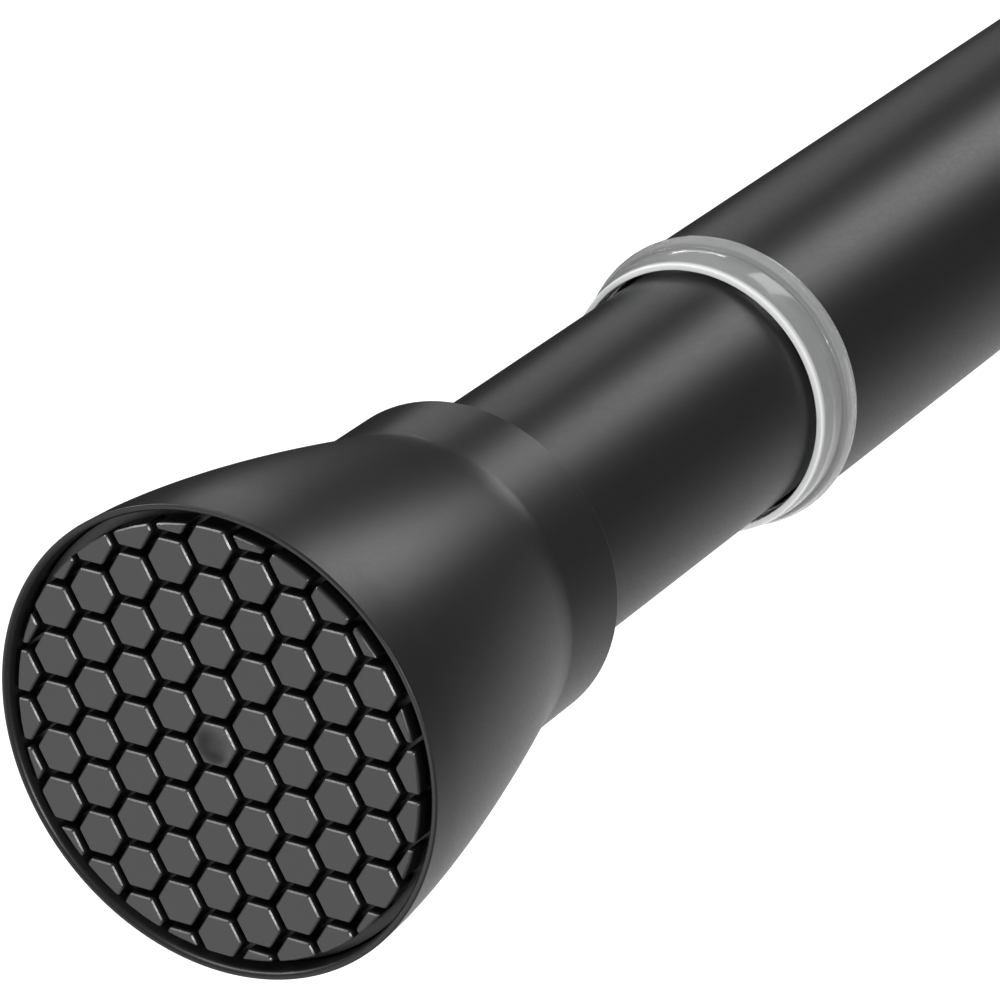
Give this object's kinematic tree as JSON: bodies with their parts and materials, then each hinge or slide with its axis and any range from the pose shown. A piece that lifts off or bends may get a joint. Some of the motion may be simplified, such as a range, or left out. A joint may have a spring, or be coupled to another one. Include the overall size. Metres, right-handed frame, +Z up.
{
  "type": "spring tension rod",
  "caption": "Telescoping spring tension rod with bell shaped end caps, honeycomb rubber pads, a translucent collar and an inner twist lock.",
  "frame": {"origin": "centre of the near end cap's lip, in the plane that meets the wall", "axes": "+X along the rod from the near end cap to the far one, +Z up, +Y across"},
  "size_m": [0.4227, 0.0374, 0.0372],
  "materials": {
    "cap_plastic": "black moulding, satin",
    "pad_rubber": "dark grey moulded rubber, matt",
    "tube_paint": "black powder coat, satin",
    "collar_clear": "frosted translucent moulding",
    "plug_plastic": "grey moulding, matt",
    "lock_plastic": "natural nylon, matt",
    "cone_plastic": "black acetal, satin",
    "spring_steel": "drawn spring wire, oiled",
    "plated_steel": "zinc plated",
    "ring_rubber": "soft black rubber"
  },
  "bodies": {
    "near_end": {"near_cap": "cap_plastic", "near_pad": "pad_rubber", "near_plug": "plug_plastic", "inner_tube": "tube_paint", "spring_stop": "plug_plastic", "coil_spring": "spring_steel", "guide_bush": "lock_plastic"},
    "spindle": {"spindle": "plated_steel", "spring_seat": "lock_plastic", "seat_pin": "plated_steel", "end_nut": "plated_steel"},
    "lock": {"lock_sleeve": "lock_plastic", "grip_ring": "ring_rubber"},
    "cone": {"cone_nut": "cone_plastic"},
    "outer_end": {"outer_tube": "tube_paint", "collar_ring": "collar_clear", "far_plug": "plug_plastic", "far_cap": "cap_plastic", "far_pad": "pad_rubber"}
  },
  "joints": [
    {"name": "spring_compress", "type": "slide", "parent": "near_end", "child": "spindle", "axis": [-1, 0, 0], "range_m": [0, 0.018], "stiffness_N_per_m": 3500, "springref_m": -0.01, "deforming": ["coil_spring"]},
    {"name": "lock_twist", "type": "hinge", "parent": "spindle", "child": "lock", "pos_m": [0.34, 0, 0], "axis": [-1, 0, 0], "range_deg": [0, 540]},
    {"name": "cone_travel", "type": "slide", "parent": "lock", "child": "cone", "axis": [-1, 0, 0], "range_m": [0, 0.003]},
    {"name": "length_adjust", "type": "slide", "parent": "lock", "child": "outer_end", "axis": [1, 0, 0], "range_m": [-0.02, 0.2255]}
  ],
  "couplings": [
    {"joint": "cone_travel", "follows": "lock_twist", "m_per_rad": 0.000318}
  ]
}
